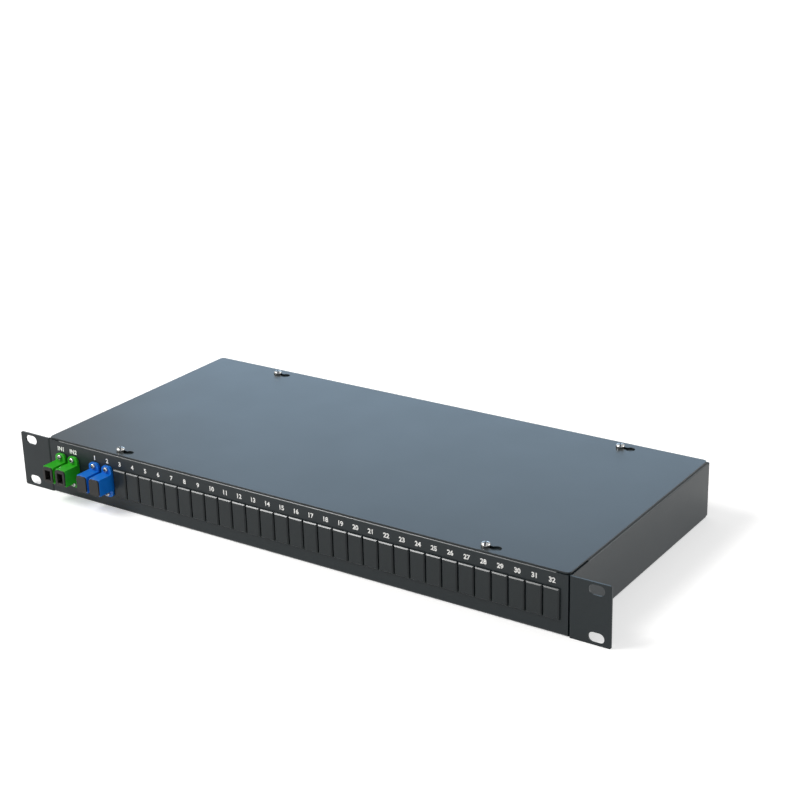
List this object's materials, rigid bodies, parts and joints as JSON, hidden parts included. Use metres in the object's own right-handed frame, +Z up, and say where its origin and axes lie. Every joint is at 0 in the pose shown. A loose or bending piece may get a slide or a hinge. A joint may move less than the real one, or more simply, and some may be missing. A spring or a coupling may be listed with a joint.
{
  "type": "fibre splitter rack tray",
  "caption": "One-unit rack tray of folded black steel with a keyholed cover and a row of fibre ports, some fitted with plugged adapters and the rest blanked.",
  "frame": {"origin": "centre of the four rack slots, on the rear faces of the ears", "axes": "+X to the right seen from the front, +Y back into the rack, +Z up"},
  "size_m": [0.485, 0.2157, 0.0456],
  "materials": {
    "powder_coat": "fine matte powder coat on folded steel sheet",
    "screw_steel": "bright zinc-plated steel",
    "green_plastic": "satin moulded plastic, green",
    "blue_plastic": "satin moulded plastic, blue",
    "plug_plastic": "matte moulded plastic, black",
    "blank_plastic": "matte moulded plastic, black",
    "natural_plastic": "moulded plastic, natural white",
    "case_plastic": "fine textured black plastic",
    "chip_steel": "drawn stainless steel",
    "foam": "closed-cell foam tape"
  },
  "bodies": {
    "chassis": {"base_tray": "powder_coat", "cover_screws": "screw_steel", "adapter_in1": "green_plastic", "adapter_in2": "green_plastic", "adapter_out1": "blue_plastic", "adapter_out2": "blue_plastic", "adapter_screws": "screw_steel", "sleeve_holders": "natural_plastic", "splitter_case": "case_plastic", "splitter_lid": "case_plastic", "splitter_chip": "chip_steel", "foam_tape": "foam", "blank_03": "blank_plastic", "blank_04": "blank_plastic", "blank_05": "blank_plastic", "blank_06": "blank_plastic", "blank_07": "blank_plastic", "blank_08": "blank_plastic", "blank_09": "blank_plastic", "blank_10": "blank_plastic", "blank_11": "blank_plastic", "blank_12": "blank_plastic", "blank_13": "blank_plastic", "blank_14": "blank_plastic", "blank_15": "blank_plastic", "blank_16": "blank_plastic", "blank_17": "blank_plastic", "blank_18": "blank_plastic", "blank_19": "blank_plastic", "blank_20": "blank_plastic", "blank_21": "blank_plastic", "blank_22": "blank_plastic", "blank_23": "blank_plastic", "blank_24": "blank_plastic", "blank_25": "blank_plastic", "blank_26": "blank_plastic", "blank_27": "blank_plastic", "blank_28": "blank_plastic", "blank_29": "blank_plastic", "blank_30": "blank_plastic", "blank_31": "blank_plastic", "blank_32": "blank_plastic"},
    "cover": {"cover": "powder_coat"},
    "dust_plug_in1": {"dust_plug_in1": "plug_plastic"},
    "dust_plug_in2": {"dust_plug_in2": "plug_plastic"},
    "dust_plug_out1": {"dust_plug_out1": "plug_plastic"},
    "dust_plug_out2": {"dust_plug_out2": "plug_plastic"}
  },
  "joints": [
    {"name": "cover_slide", "type": "slide", "parent": "chassis", "child": "cover", "axis": [-1, 0, 0], "range_m": [0, 0.0077]},
    {"name": "plug_in1_pull", "type": "slide", "parent": "chassis", "child": "dust_plug_in1", "axis": [0, -1, 0], "range_m": [0, 0.0105]},
    {"name": "plug_in2_pull", "type": "slide", "parent": "chassis", "child": "dust_plug_in2", "axis": [0, -1, 0], "range_m": [0, 0.0105]},
    {"name": "plug_out1_pull", "type": "slide", "parent": "chassis", "child": "dust_plug_out1", "axis": [0, -1, 0], "range_m": [0, 0.0105]},
    {"name": "plug_out2_pull", "type": "slide", "parent": "chassis", "child": "dust_plug_out2", "axis": [0, -1, 0], "range_m": [0, 0.0105]}
  ]
}
